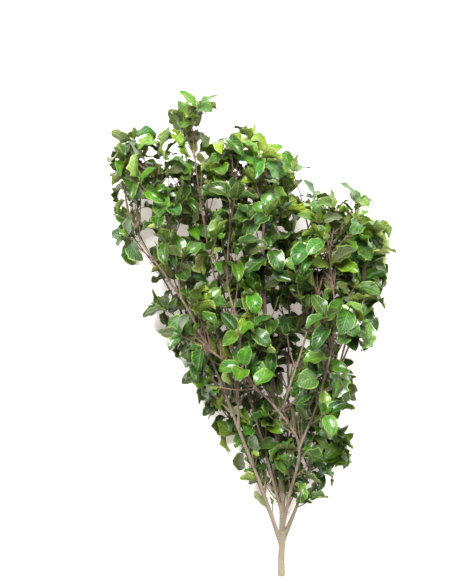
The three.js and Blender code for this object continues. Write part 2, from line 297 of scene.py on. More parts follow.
def rough_surface(tree, shader, height, strength, distance):
    bump = node(tree, "ShaderNodeBump",
                {"Strength": strength, "Distance": distance, "Height": height})
    tree.links.new(bump.outputs[0], shader.inputs["Normal"])


young_bark = (0.15, 0.085, 0.052, 1)
grown_bark = (0.31, 0.245, 0.165, 1)
old_bark = (0.285, 0.24, 0.17, 1)
grown_bark_age = 0.4
weathering = 0.9
bark_crack = (0.045, 0.028, 0.02, 1)
crack_share = 0.75
lenticel_tan = (0.55, 0.45, 0.34, 1)
lenticel_share = 0.55
lenticel_radius = 0.2
bark, tree, shader = new_material("bark", Roughness=0.7)
grain = carried(tree, "grain", "Vector")
streaks = clouds(tree, stretched(tree, grain, scale=(1, 1, 0.1)), scale=1.1, detail=5)
weathered = math(tree, "MULTIPLY_ADD", clouds(tree, grain, scale=0.11), weathering,
                 -weathering / 2)
years = math(tree, "ADD", carried(tree, "age"), weathered, clamp=True)
bark_ages = three_toned(tree, years, young_bark, grown_bark, old_bark, grown_bark_age)
streaked = mixed(tree, math(tree, "MULTIPLY", streaks, crack_share), bark_ages, bark_crack)
specks = node(tree, "ShaderNodeTexVoronoi",
              {"Vector": stretched(tree, grain, scale=(0.8, 0.8, 0.42)), "Scale": 0.9})
lenticels = math(tree, "LESS_THAN", specks.outputs["Distance"], lenticel_radius)
speckled = mixed(tree, math(tree, "MULTIPLY", lenticels, lenticel_share), streaked, lenticel_tan)
tree.links.new(speckled, shader.inputs["Base Color"])
rough_surface(tree, shader, math(tree, "ADD", streaks, lenticels), strength=0.5,
              distance=0.0004)

fresh_wood = (0.62, 0.5, 0.33, 1)
wood_ring = (0.42, 0.3, 0.17, 1)
ring_radians_per_metre = 9000
ring_share = 0.3
ring_contrast = 0.2
pith_brown = (0.22, 0.14, 0.08, 1)
pith_radius = 0.0009
cut_face, tree, shader = new_material("cut_face", Roughness=0.85)
pith_place = in_metres(limbs[0]["point"](0))
from_pith = node(tree, "ShaderNodeVectorMath", {0: object_place(tree), 1: pith_place},
                 operation="DISTANCE").outputs["Value"]
year_rings = math(tree, "SINE", math(tree, "MULTIPLY", from_pith, ring_radians_per_metre))
ringed = mixed(tree, math(tree, "MULTIPLY_ADD", year_rings, ring_contrast, ring_share),
               fresh_wood, wood_ring)
is_pith = math(tree, "LESS_THAN", from_pith, pith_radius)
tree.links.new(mixed(tree, is_pith, ringed, pith_brown), shader.inputs["Base Color"])

round_sides = 12
ring_spacing = 7
to_round = 0.9
collar_length = 15
collar_swell = 0.45
length_steps = 40
stem_age = 1
limb_age = 0.62
age_falloff = 1.5
cut_slope = 0.4
for limb in limbs:
    steps = length_steps * limb["spans"]
    run = [limb["point"](step / steps) for step in range(steps + 1)]
    limb["length"] = sum((b - a).length for a, b in zip(run, run[1:]))
    limb["age"] = limb_age if limb["carrier"] else stem_age

    def girth(share):
        collar = max(0, 1 - share * limb["length"] / collar_length) if limb["carrier"] else 0
        return bar_radius(limb, share) * to_round * (1 + collar_swell * collar)

    wood = new_wood()
    lay_rod(wood, rod_template(round_sides, int(limb["length"] / ring_spacing)), limb, girth,
            lambda share: limb["age"] * (1 - share) ** age_falloff)
    if not limb["carrier"]:
        end_cap = min(wood.faces, key=lambda face: face.calc_center_median().y)
        end_cap.material_index = 1
        for vert in end_cap.verts:
            vert.co.y += vert.co.z * cut_slope
        for edge in end_cap.edges:
            edge.smooth = False
    new_piece(limb["name"] + "_wood", wood, [bark, cut_face], limb)


# Twigs: short leafy side shoots, a few together in loose whorls on every limb. They are the same
# wood, thin and reddish brown. Each leaves its limb at a slant, bends towards the limb's own
# direction, and ends in a small pointed bud among its leaves.
golden_angle = 137.508
twig_sides = 4
twig_radius = 1.35
twig_taper = 0.7
twig_to_limb = 0.85
twig_length = (36, 62)
low_twig_length = 26
twig_spread = (34, 54)
twig_turn_play = (-25, 25)
straight_share = 0.5
onward_share = 0.27
bent_share = 0.25
leafy_from = 124
bushy_from = 260
whorl_seed = 3
whorl_place = (0.35, 0.7)
whorl_turn = 70
whorl_twigs = (2.4, 4.6)
whorl_scatter = (-0.12, 0.12)
last_twig_place = 0.95
rosette_size = 0.82
rosette_gain = 0.18
rosette_spread = (60, 37)
leaf_length = (28, 39)
leaf_width_share = (0.57, 0.7)
leaf_turn_play = (-12, 12)
leaf_spread_play = (-6, 6)
leaf_arch = (12, 78)
cupped_leaves = 0.12
cupped_arch = -0.5
leaf_fold = (6, 34)
leaf_twist = (-30, 30)
wave_height = (1.1, 2)
wave_phase = (0, 6.28)
waves_along = 2.3
leaf_sunward = (0.1, 0.8)
draw_modulus = 2 ** 31 - 1
draw_multiplier = 48271
seed_multiplier = 715827


def seeded_draw(seed):
    """Numbers from a seed, each between the low and high that are asked for."""
    state = seed * seed_multiplier % draw_modulus

    def draw(low, high):
        nonlocal state
        state = state * draw_multiplier % draw_modulus
        return low + (high - low) * state / draw_modulus
    return draw


def leaf_plan(draw, at, turn, spread, size):
    """Every number that a leaf's place and form need."""
    length = size * draw(*leaf_length)
    return {
        "at": at, "length": length, "width": length * draw(*leaf_width_share),
        "turn": turn + radians(draw(*leaf_turn_play)),
        "spread": radians(spread + draw(*leaf_spread_play)),
        "arch": radians(draw(*leaf_arch)) * (cupped_arch if draw(0, 1) < cupped_leaves else 1),
        "fold": radians(draw(*leaf_fold)), "twist": radians(draw(*leaf_twist)),
        "wave": draw(*wave_height), "phase": (draw(*wave_phase), draw(*wave_phase)),
        "sunward": draw(*leaf_sunward), "waves": waves_along, "youth": 0, "reach": 0,
    }


def rosette_plan(draw, bar, size):
    """One leaf for each side of a bar's end, by turns spread and steep."""
    return [leaf_plan(draw, 1, bar["turn"] + side * 2 * pi / bar["sides"],
                      rosette_spread[side % 2], size) for side in range(bar["sides"])]


def bushiness(limb, at, leafy, bushy):
    """0 where a limb is bare below the leafy height, rising to 1 at the bushy one."""
    return min(max((limb["point"](at).y - leafy) / (bushy - leafy), 0), 1)


def new_twig(draw, limb, at, slimness, length, leaving, spread):
    """A twig's size, and its directions where it leaves its limb."""
    radius = min(twig_radius * slimness, twig_to_limb * bar_radius(limb, at))
    return {"limb": limb, "at": at, "sides": twig_sides, "radius": (radius, radius * twig_taper),
            "length": length, "leaving": leaving, "spread": radians(draw(*spread)),
            "turn": radians(draw(0, 360 / twig_sides)), "is_placed": False}


def limb_plan(limb, index):
    """The twigs of a limb, a whorl in each leafy span, and the rosette at its tip."""
    draw = seeded_draw(index + whorl_seed)
    twigs = []
    for span in range(limb["spans"]):
        whorl = span + draw(*whorl_place)
        bushy = bushiness(limb, whorl / limb["spans"], leafy_from, bushy_from)
        for k in range(int(draw(*whorl_twigs))):
            at = min((whorl + draw(*whorl_scatter)) / limb["spans"], last_twig_place)
            length = low_twig_length + (draw(*twig_length) - low_twig_length) * bushy
            leaving = golden_angle * (span + k) + whorl_turn * index + draw(*twig_turn_play)
            twig = new_twig(draw, limb, at, slimness=1, length=length, leaving=radians(leaving),
                            spread=twig_spread)
            twig["in_solids"] = k == 0
            twig["plans"] = rosette_plan(draw, twig, rosette_size + rosette_gain * bushy)
            if bushy > 0:
                twigs.append(twig)
    return twigs, rosette_plan(draw, limb, 1)


def bend_twig(twig, swing):
    """Gives a twig its curve, from its limb outwards and then towards the limb's direction."""
    limb = twig["limb"]
    root = limb["point"](twig["at"])
    tangent, across, back = bar_frame(limb, twig["at"])
    leaving = twig["leaving"] + swing
    outward = across * cos(leaving) + back * sin(leaving)
    along = tangent * cos(twig["spread"]) + outward * sin(twig["spread"])
    middle = root + along * twig["length"] * straight_share
    end = middle + along * twig["length"] * onward_share + tangent * twig["length"] * bent_share
    twig["point"] = lambda at: root * (1 - at) ** 2 + middle * (2 * at * (1 - at)) + end * at ** 2
    twig["sideways"] = tangent.cross(outward)


# The leafy fan: the outline that the leaves of all the limbs fill together. It grew uneven, with
# bare stretches of the front limbs in view and gaps that the pale surface shows through. Its
# edges were measured on the photo and its gaps listed, in millimetres from the cut end.
lowest, highest = (corner * 1000 - cut_end_place for corner in solids_box)
eye = camera.location * 1000 - cut_end_place
fan_depth = 100
# A height up the fan, and its left and right edges there.
fan_edge = [
    (110, -38, 62), (140, -42, 92), (196, -72, 112), (254, -106, 112), (311, -128, 106),
    (369, -152, 124), (424, -168, 136), (446, -200, 142), (490, -206, 150), (514, -222, 146),
    (532, -256, 104), (548, -262, 40), (560, -262, 22), (598, -258, 14), (641, -236, -28),
    (672, -224, -84), (686, -196, -90), (694, -154, -92), (720, -150, -100)]
# A gap's middle and radius as the camera sees it, and the depth down to which it is open.
gaps_in_fan = [
    (-94, 664, 19, 0), (-191, 624, 7, 0), (-198, 541, 5, 0), (25, 524, 6, 0),
    (-100, 550, 7, 0), (-143, 514, 5, 0), (16, 401, 4, 0), (-26, 401, 4, 0),
    (-83, 369, 5, 0), (86, 331, 14, 0), (84, 253, 12, 0), (-194, 503, 9, 0),
    (-166, 433, 9, 0), (-178, 668, 8, 0), (22, 574, 9, 0), (-3, 418, 13, 75),
    (8, 388, 14, 75), (10, 356, 14, 70), (4, 326, 13, 65), (-4, 296, 12, 60),
    (-2, 264, 12, 55), (-3, 232, 11, 50)]
shown_limbs = ("left_outer_limb", "centre_left_limb", "front_limb", "front_right_limb",
               "right_inner_limb", "tall_left_limb")
shown_steps = 60
bunches_shown = (("front_limb", 0.667), ("tall_left_limb", 0.317), ("right_outer_limb", 0.21),
                 ("right_inner_limb", 0.2))
bunch_radius = 8
view_cell_size = 6
twig_places = (0.2, 0.4, 0.6, 0.8, 1)
kept_in_view = {}


def seen(place):
    """Where a place appears to the camera, as x and y at the depth of the fan's middle."""
    away = (eye.z - fan_depth) / (eye.z - place.z)
    return eye.x + (place.x - eye.x) * away, eye.y + (place.y - eye.y) * away


def view_cell(x, y):
    return int(x // view_cell_size), int(y // view_cell_size)


def fan_sides(height):
    """The left and right edges of the leafy fan at a height above the cut end."""
    height = min(max(height, fan_edge[0][0]), fan_edge[-1][0])
    near, far = next(pair for pair in zip(fan_edge, fan_edge[1:]) if height <= pair[1][0])
    share = (height - near[0]) / (far[0] - near[0])
    return [near[side] + (far[side] - near[side]) * share for side in (1, 2)]


def is_in_fan(place, reach):
    """Whether a place is that far inside the fan seen in the photo."""
    x, y = seen(place)
    left, right = fan_sides(y)
    return left + reach < x < right - reach


def crosses_gap(twig):
    """Whether a twig would be seen across one of the gaps that go right through the fan."""
    return any(kept_in_view.get(view_cell(*seen(twig["point"](at))), highest.z) == 0
               for at in twig_places)


for name in shown_limbs:
    limb = limb_named[name]
    steps = shown_steps * limb["spans"]
    for step in range(steps + 1):
        place = limb["point"](step / steps)
        kept_in_view[view_cell(*seen(place))] = place.z
for name, at in bunches_shown:
    place = limb_named[name]["point"](at)
    gaps_in_fan.append((*seen(place), bunch_radius, place.z))
for x, y, radius, depth in gaps_in_fan:
    reach = range(-int(radius), int(radius) + 1, view_cell_size // 2)
    for dx in reach:
        for dy in reach:
            if dx * dx + dy * dy <= radius * radius:
                cell = view_cell(x + dx, y + dy)
                kept_in_view[cell] = min(depth, kept_in_view.get(cell, depth))


# Growing room: twigs and leaves grew past each other, never through. Each is tried in a few
# positions and kept in the first where it crosses nothing kept before it. Those that the solids
# hold come first, starting with the first twig of each whorl, and stand where the solids do.
surfaces = {name: BVHTree.FromPolygons([vert.co for vert in solid.data.vertices],
                                       [face.vertices for face in solid.data.polygons])
            for name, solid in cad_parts.items()}
box_margin = 0.4
room_size = 45
placed = {}
rod_corners = (0, 2.1, 4.2)
limb_rings = 6
twig_rings = 5
tries = (0, 1, -1, 2, -2, 3, -3)
twig_swing = 33
swings = [radians(twig_swing * step) for step in tries]
solid_twig_places = (0.67, 1)
solid_twig_fit = 1.2


def is_in_solid(limb, places, within):
    """Whether all these places are that close, in millimetres, to the limb's solid surface."""
    return all(surfaces[limb["name"]].find_nearest(in_metres(place), within / 1000)[0]
               for place in places)


def rooms_of(low, high):
    """The equal rooms, out of all the space, that a box reaches into."""
    first, last = ([int(value // room_size) for value in corner] for corner in (low, high))
    return [(x, y, z) for x in range(first[0], last[0] + 1) for y in range(first[1], last[1] + 1)
            for z in range(first[2], last[2] + 1)]


def thing_of(points, faces, owner):
    """A thin surface that stands for something placed, with its box and what it belongs to."""
    low, high = (Vector(pick(point[k] for point in points) for k in range(3))
                 for pick in (min, max))
    return {"low": low, "high": high, "owner": owner, "tree": BVHTree.FromPolygons(points, faces)}


def is_clear(thing):
    """Whether a thing stays in the solids' box and crosses nothing placed before it."""
    low, high = thing["low"], thing["high"]
    if any(low[k] < lowest[k] + box_margin or high[k] > highest[k] - box_margin
           for k in range(3)):
        return False
    others = {id(other): other for room in rooms_of(low, high)
              for other in placed.get(room, ()) if other["owner"] is not thing["owner"]}
    return not any(
        all(other["low"][k] < high[k] and other["high"][k] > low[k] for k in range(3))
        and thing["tree"].overlap(other["tree"]) for other in others.values())


def keep(thing):
    for room in rooms_of(thing["low"], thing["high"]):
        placed.setdefault(room, []).append(thing)


def rod_thing(bar, rings, owner):
    """A coarse three-sided rod along a bar, to test what the bar crosses."""
    points = []
    for ring in range(rings + 1):
        tangent, across, back = bar_frame(bar, ring / rings)
        for turn in rod_corners:
            points.append(bar["point"](ring / rings) +
                          (across * cos(turn) + back * sin(turn)) * bar_radius(bar, ring / rings))
    faces = [(3 * ring + side, 3 * ring + (side + 1) % 3, 3 * ring + 3 + (side + 1) % 3,
              3 * ring + 3 + side) for ring in range(rings) for side in range(3)]
    return thing_of(points, faces, owner)


for index, limb in enumerate(limbs):
    keep(rod_thing(limb, limb_rings * limb["spans"], limb))
    limb["twigs"], limb["plans"] = limb_plan(limb, index)
    for twig in limb["twigs"]:
        for swing in swings:
            bend_twig(twig, swing)
            middle_and_end = [twig["point"](at) for at in solid_twig_places]
            if twig["in_solids"] and is_in_solid(limb, middle_and_end, solid_twig_fit):
                keep(rod_thing(twig, twig_rings, limb))
                twig["is_placed"] = True
                break


# Leaves: thin leathery blades on short stalks, most of them in rosettes round the tips of twigs
# and limbs. A dried blade curls back along its length, folds on its midrib, waves at its edges
# and turns part of the way to the light. The rosettes' leaves that the solids hold grow first.
stalk_share = 0.12
base_fullness = 0.85
side_fullness = 0.72
wave_rise = 1.5
fold_rise = 1.4
rosette_height = 0.9
max_roll = radians(62)
light = Vector((0, 0.25, 0.97)).normalized()
lowest_leaf_tip = 122
leaf_tilt = 9
leaf_turn = 22
tilts = [radians(leaf_tilt * step) for step in tries]
turns = [radians(leaf_turn * step) for step in tries[:5]]
solid_leaf_corners = ((0.54, 0), (0.8, -1), (0.8, 1), (1, 0))
solid_leaf_fit = 0.45
tested_rows = (0.16, 0.28, 0.42, 0.56, 0.7, 0.85, 1)
tested_sides = (-1, -0.5, 0, 0.5, 1)
tested_faces = [(3 * row + column, 3 * row + column + 1, 3 * row + column + 4,
                 3 * row + column + 3)
                for row in range(len(tested_rows) - 1) for column in range(2)]


def outline(along):
    """The blade's half width as a share of its greatest: a round base and an acute tip."""
    blade = (along - stalk_share) / (1 - stalk_share)
    if blade <= 0 or along >= 1:
        return 0
    return max(sin(pi * blade ** base_fullness), 0) ** side_fullness


def blade_point(leaf, along, side, lift):
    """A place on a leaf, along from its root to its tip and across from -1 to 1."""
    bend = leaf["arch"] * along
    reach = leaf["length"] / leaf["arch"]
    centre = leaf["root"] + leaf["along"] * (reach * sin(bend)) \
        + leaf["inner"] * (reach * (cos(bend) - 1))
    upper = leaf["inner"] * cos(bend) + leaf["along"] * sin(bend)
    twist = leaf["twist"] * along
    across = leaf["edge"] * cos(twist) + upper * sin(twist)
    normal = upper * cos(twist) - leaf["edge"] * sin(twist)
    share = outline(along)
    width = leaf["width"] / 2 * share
    wave = leaf["wave"] * abs(side) ** wave_rise * share * \
        sin(2 * pi * leaf["waves"] * along + leaf["phase"][side >= 0])
    rise = abs(side) ** fold_rise * width * sin(leaf["fold"]) + wave + lift
    return centre + across * (side * width * cos(leaf["fold"])) + normal * rise


def placed_leaf(bar, plan, turn, spread):
    """A leaf where it leaves a bar, turned to the bar's tip and part of the way to the light."""
    tangent, across, back = bar_frame(bar, plan["at"])
    outward = across * cos(turn) + back * sin(turn)
    along = tangent * cos(spread) + outward * sin(spread)
    inner = tangent * sin(spread) - outward * cos(spread)
    edge = along.cross(inner)
    sunward = atan2(-edge.dot(light), inner.dot(light)) * plan["sunward"]
    roll = min(max(sunward, -max_roll), max_roll)
    inner = inner * cos(roll) - edge * sin(roll)
    surface = bar_radius(bar, plan["at"]) * cos(pi / bar["sides"])
    root = bar["point"](plan["at"]) + outward * surface + tangent * (rosette_height / 2)
    return {**plan, "bar": bar, "root": root, "along": along, "inner": inner,
            "edge": along.cross(inner)}


def leaf_thing(leaf):
    """A coarse sheet in a leaf's place, to test what the leaf crosses."""
    points = [blade_point(leaf, along, side, 0) for along in tested_rows for side in (-1, 0, 1)]
    return thing_of(points, tested_faces, leaf)


def hides(leaf):
    """Whether a leaf would lie in front of what it has to leave in view."""
    for along in tested_rows:
        for side in tested_sides:
            place = blade_point(leaf, along, side, 0)
            if place.z > kept_in_view.get(view_cell(*seen(place)), highest.z):
                return True
    return False


def grow_as_solid(bar, limb, plan):
    """The leaf that the limb's solid carries for this plan, if it does."""
    for tilt in tilts:
        leaf = placed_leaf(bar, plan, plan["turn"], plan["spread"] + tilt)
        corners = [blade_point(leaf, *corner, 0) for corner in solid_leaf_corners]
        if is_in_solid(limb, corners, solid_leaf_fit):
            return leaf
    return None


def grow_where_clear(bar, plan):
    """A leaf turned and tilted step by step until it crosses nothing."""
    for turn in turns:
        for tilt in tilts:
            leaf = placed_leaf(bar, plan, plan["turn"] + turn, plan["spread"] + tilt)
            tip = blade_point(leaf, 1, 0, 0)
            if tip.y > lowest_leaf_tip and is_in_fan(tip, plan["reach"]) and not hides(leaf):
                thing = leaf_thing(leaf)
                if is_clear(thing):
                    keep(thing)
                    return leaf
    return None


waiting = []
for limb in limbs:
    limb["leaves"] = []
    for bar in [limb] + [twig for twig in limb["twigs"] if twig["is_placed"]]:
        for plan in bar["plans"]:
            leaf = grow_as_solid(bar, limb, plan)
            if leaf:
                keep(leaf_thing(leaf))
                limb["leaves"].append(leaf)
            else:
                waiting.append((limb, bar, plan))


# More twigs: the rest of each whorl, and thinner single twigs between the whorls, of the same
# wood. Each is swung round its limb until it crosses nothing, or left out. The main stem and the
# last span of every limb carry the most of them.
leaf_reach = 20
single_seed = 301
single_twigs = (1.7, 3.9)
stem_crowding = 1.6
last_span_twigs = 2
single_place = (0.05, 1)
last_single_place = 0.96
single_bushy_from = 200
single_leafy_from = 80
single_length = (28, 72)
single_length_share = 0.65
single_length_gain = 0.35
single_rosette_size = 0.84
single_rosette_gain = 0.22


def grow_twig(limb, twig):
    """Whether a twig finds room. If it does, its leaves wait for theirs."""
    for swing in swings:
        bend_twig(twig, swing)
        thing = rod_thing(twig, twig_rings, limb)
        if is_in_fan(twig["point"](1), leaf_reach) and not crosses_gap(twig) and is_clear(thing):
            keep(thing)
            waiting.extend((limb, twig, plan) for plan in twig["plans"])
            return True
    return False


for limb in limbs:
    limb["twigs"] = [twig for twig in limb["twigs"] if twig["is_placed"] or grow_twig(limb, twig)]
for index, limb in enumerate(limbs):
    draw = seeded_draw(index + single_seed)
    crowding = 1 if limb["carrier"] else stem_crowding
    for span in range(limb["spans"]):
        extra = last_span_twigs if span == limb["spans"] - 1 else 0
        for k in range(int(draw(*single_twigs) * crowding) + extra):
            at = min((span + draw(*single_place)) / limb["spans"], last_single_place)
            bushy = bushiness(limb, at, single_leafy_from, single_bushy_from)
            length = draw(*single_length) * (single_length_share + single_length_gain * bushy)
            twig = new_twig(draw, limb, at, slimness=0.85, length=length, leaving=draw(0, 2 * pi),
                            spread=(22, 50))
            twig["plans"] = rosette_plan(draw, twig,
                                         single_rosette_size + single_rosette_gain * bushy)
            if bushy > 0 and grow_twig(limb, twig):
                limb["twigs"].append(twig)


# More leaves: single ones below each rosette, along each limb's end and base, and a pair of pale
# young ones at every tip. They are freer in curl, fold and turn than those of the solids, and
# each takes the first position where it crosses nothing, or is left out.
lower_seed = 101
lower_leaves = (1.2, 3.8)
limb_end_leaves = 14
limb_end_gap = 0.06
limb_end_step = 0.14
base_leaves = 14
for index, limb in enumerate(limbs):
    draw = seeded_draw(index + lower_seed)
    for twig in limb["twigs"]:
        first_turn = draw(0, 2 * pi)
        for k in range(int(draw(*lower_leaves))):
            waiting.append((limb, twig, leaf_plan(
                draw, at=draw(0.42, 0.9), turn=first_turn + radians(golden_angle * k), spread=68,
                size=draw(0.72, 1.14))))
    for k in range(limb_end_leaves):
        waiting.append((limb, limb, leaf_plan(
            draw, at=1 - (limb_end_gap + limb_end_step * k) / limb["spans"],
            turn=radians(golden_angle * k), spread=62, size=draw(0.9, 1.14))))
    for k in range(base_leaves):
        waiting.append((limb, limb, leaf_plan(
            draw, at=draw(0.1, 0.5), turn=draw(0, 2 * pi), spread=52, size=draw(0.85, 1.2))))

loose_seed = 77
loose_size = 1.13
loose_arch = (20, 140)
loose_cupped_leaves = 0.15
loose_cupped_arch = -0.35
loose_twist = (-65, 65)
loose_sunward = (-0.3, 0.65)
loose_spread = (-14, 24)
loose_waves = (2.1, 3.5)
loose_fold = (4, 58)
loose_wave_height = 2
stray_leaves = 0.14
stray_reach = -18


def loosened(plan, draw):
    """The same leaf with a stronger curl and a freer turn, for leaves that fill the stem out."""
    arch = radians(draw(*loose_arch))
    return {**plan,
            "arch": arch * (loose_cupped_arch if draw(0, 1) < loose_cupped_leaves else 1),
            "length": plan["length"] * loose_size, "width": plan["width"] * loose_size,
            "twist": radians(draw(*loose_twist)), "sunward": draw(*loose_sunward),
            "spread": plan["spread"] + radians(draw(*loose_spread)),
            "waves": draw(*loose_waves), "fold": radians(draw(*loose_fold)),
            "wave": plan["wave"] * loose_wave_height,
            "reach": stray_reach if draw(0, 1) < stray_leaves else 0}


draw = seeded_draw(loose_seed)
waiting = [(limb, bar, loosened(plan, draw)) for limb, bar, plan in waiting]

# The young pair of a limb, and of a twig: turn, play of the turn, spread, sizes and the rest.
young_leaves = 2
limb_pair = (0, (-0.5, 0.5), 18, (1.05, 1.3), {"youth": 0.2, "sunward": 0.95})
for limb in limbs:
    for bar in [limb] + limb["twigs"]:
        twig_pair = (bar["turn"], (0, 1), 20, (0.34, 0.6), {"youth": 0.28})
        turn, play, spread, size, rest = limb_pair if bar is limb else twig_pair
        for k in range(young_leaves):
            young = leaf_plan(draw, 1, turn + pi * k + draw(*play), spread, draw(*size))
            young.update(rest, reach=stray_reach)
            waiting.insert(0 if bar is limb else len(waiting), (limb, bar, young))
for limb, bar, plan in waiting:
    leaf = grow_where_clear(bar, plan)
    if leaf:
        limb["leaves"].append(leaf)


# Bare stalks: what is left where old leaves and flowers fell. They are thin and brown, and stand
# in small bunches at some of the places where a twig leaves its limb.
bunch_seed = 55
bunch_chance = {True: 0.35, False: 0.1}
stubs_in_bunch = 11
stub_sides = 4
stub_rings = 2
stub_radius = 0.34
stub_length = (6, 13)
stub_turn_play = (-0.3, 0.3)
stub_lean = (30, 80)
stub_scatter = (-3, 3)
stub_droop = 0.15
draw = seeded_draw(bunch_seed)
for limb in limbs:
    limb["stubs"] = []
    bunches = [at for name, at in bunches_shown if name == limb["name"]]
    bunches += [twig["at"] for twig in limb["twigs"]
                if draw(0, 1) < bunch_chance[limb["name"] in shown_limbs]]
    for at in bunches:
        tangent, across, back = bar_frame(limb, at)
        for k in range(stubs_in_bunch):
            turn = radians(golden_angle * k) + draw(*stub_turn_play)
            lean = radians(draw(*stub_lean))
            outward = across * cos(turn) + back * sin(turn)
            root = limb["point"](at) + tangent * draw(*stub_scatter)
            length = bar_radius(limb, at) + draw(*stub_length)
            along = (tangent * cos(lean) + outward * sin(lean)) * length
            droop = tangent * (stub_droop * length)
            stub = {"length": length, "sideways": tangent.cross(outward),
                    "radius": (stub_radius, stub_radius),
                    "point": lambda at, root=root, along=along, droop=droop:
                        root + along * at - droop * at * at}
            thing = rod_thing(stub, stub_rings, limb)
            if is_clear(thing):
                keep(thing)
                limb["stubs"].append(stub)


# Twig wood: the twigs of each limb with their buds and bare stalks. The bark is the limbs' own,
# young and red-brown. Each twig tapers to a small pointed bud of brown and green scales, and
# grows out of the limb's wood.
twig_wood_sides = 6
twig_wood_rings = 9
twig_to_round = 0.8
twig_age = 0.6
bud_rings = 4
bud_length = 2.6
bud_fullness = 1.15
bud_point = 0.12
bud_brown = (0.16, 0.07, 0.04, 1)
bud_green = (0.2, 0.24, 0.07, 1)
stub_age = 0.25
stub_flare = 1.2
stub_taper = 0.5
tip_bud, tree, shader = new_material("tip_bud", Roughness=0.5)
bud_scales = clouds(tree, object_place(tree), scale=900)
tree.links.new(mixed(tree, bud_scales, bud_brown, bud_green), shader.inputs["Base Color"])
twig_template = rod_template(twig_wood_sides, twig_wood_rings)
bud_template = rod_template(twig_wood_sides, bud_rings)
stub_template = rod_template(stub_sides, stub_rings)
for limb in limbs:
    shoots = new_wood()
    for bar in limb["twigs"] + [limb]:
        end = bar["point"](1)
        tangent, across, back = bar_frame(bar, 1)
        bud = {"point": lambda at, end=end, tangent=tangent: end + tangent * (at * bud_length),
               "sideways": across, "length": bud_length}
        bud_girth = bar_radius(bar, 1) * (to_round if bar is limb else twig_to_round)
        if bar is not limb:
            lay_rod(shoots, twig_template, bar,
                    lambda share: bar_radius(bar, share) * twig_to_round,
                    lambda share: limb["age"] * (1 - bar["at"]) ** age_falloff * (1 - share)
                    * twig_age)
        bud_faces = lay_rod(
            shoots, bud_template, bud,
            lambda share: bud_girth * max(bud_fullness - share * share, bud_point),
            lambda share: 0)
        for face in bud_faces:
            face.material_index = 1
    for stub in limb["stubs"]:
        lay_rod(shoots, stub_template, stub,
                lambda share: stub_radius * (stub_flare - stub_taper * share),
                lambda share: stub_age)
    new_piece(limb["name"] + "_twigs", shoots, [bark, tip_bud], limb)


# Leaf blades: the leaves of each limb, fused to its twigs by their stalks. A blade is a thin
# closed sheet, glossy deep green and quilted above, paler and dull below, and yellow-green where
# it is young. Its midrib stands out below, and its stalk is reddish.
blade_columns = 4
blade_rows = 9
end_crowding = 0.14
blade_thickness = 0.3
midrib_height = 0.28
near_by = 0.01
stalk_sides = 4
stalk_rings = 2
stalk_start = -0.02
stalk_end = 0.17
stalk_girth = 0.6
stalk_flare = 1.3
stalk_taper = 0.7


def blade_template():
    """A flat closed blade: an upper and a lower sheet that share their edge."""
    blade = bmesh.new()
    bmesh.ops.create_grid(blade, x_segments=blade_columns, y_segments=blade_rows, size=1)
    for vert in blade.verts:
        vert.co.y += end_crowding * sin(pi * vert.co.y)
    for end in (-1, 1):
        row = [vert for vert in blade.verts if abs(vert.co.y - end) < near_by]
        bmesh.ops.pointmerge(blade, verts=row, merge_co=(0, end, 0))
    lower = bmesh.ops.duplicate(blade, geom=blade.verts[:] + blade.edges[:] + blade.faces[:])
    lower_faces = {item for item in lower["geom"] if isinstance(item, bmesh.types.BMFace)}
    lower_verts = {vert for face in lower_faces for vert in face.verts}
    bmesh.ops.reverse_faces(blade, faces=list(lower_faces))
    for face in blade.faces:
        face.material_index = int(face in lower_faces)
        face.smooth = True
    for vert in blade.verts:
        on_edge = max(abs(vert.co.x), abs(vert.co.y)) > 1 - near_by
        vert.co.z = 0 if on_edge else (-1 if vert in lower_verts else 1)
    bmesh.ops.remove_doubles(blade, verts=blade.verts, dist=near_by / 10)
    for edge in blade.edges:
        edge.smooth = len({face.material_index for face in edge.link_faces}) == 1
    return mesh_of("blade", blade)


def lay_leaf(foliage, leaf, tone_and_shade, seed):
    """Adds one leaf: its blade bent into its form, and its stalk."""
    blade = foliage.verts.layers.float_vector["blade"]
    tones_and_shades = foliage.verts.layers.float["tone_and_shade"]
    for vert in added(foliage, flat_blade)[0]:
        side, height = vert.co.x, vert.co.z
        along = stalk_share + (1 - stalk_share) * (vert.co.y + 1) / 2
        lift = height * blade_thickness / 2
        if height < 0 and abs(side) < near_by:
            lift -= midrib_height * (1 - along)
        vert.co = kept_in_box(blade_point(leaf, along, side, lift))
        vert[blade] = (side, along, seed)
        vert[tones_and_shades] = tone_and_shade
    verts, faces = added(foliage, straight_stalk)
    for face in faces:
        face.material_index = 2
        face.smooth = True
    for vert in verts:
        share = vert.co.z + 0.5
        along = stalk_start + (stalk_end - stalk_start) * share
        girth = stalk_girth * (stalk_flare - stalk_taper * share)
        centre = blade_point(leaf, along, 0, 0)
        vert.co = kept_in_box(centre + (leaf["edge"] * vert.co.x + leaf["inner"] * vert.co.y) *
                              girth)
        vert[blade] = (0, along, seed)
        vert[tones_and_shades] = tone_and_shade


own_number = (0, 10)
dry_brown = (0.045, 0.032, 0.018, 1)
browned_above = 9.4
browned_share = 0.75
mottling_depth = 0.8
own_hue_step = 3.7
bluest_hue = 0.47
deep_hue_play = 0.07
pale_hue_loss = -0.055
least_saturation = 0.9
saturation_play = 0.3
midrib_fade = (0.02, 0.09)
rib_count = 9
rib_slant = -2.4
ribs_before = 10
rib_fade = (0.03, 0.12)
rib_share = 0.7
net_stretch = 3
net_scale = 5
net_fade = (0.01, 0.08)
net_share = 0.35
quilt_fade = (0, 0.42)
margin_fade = (0.84, 0.98)
margin_share = 0.75
pucker_height = 1.1
crumple_height = 5
glow = (0.4, 0.56, 0.05, 1)
glow_share = 0.6
light_through = 0.1


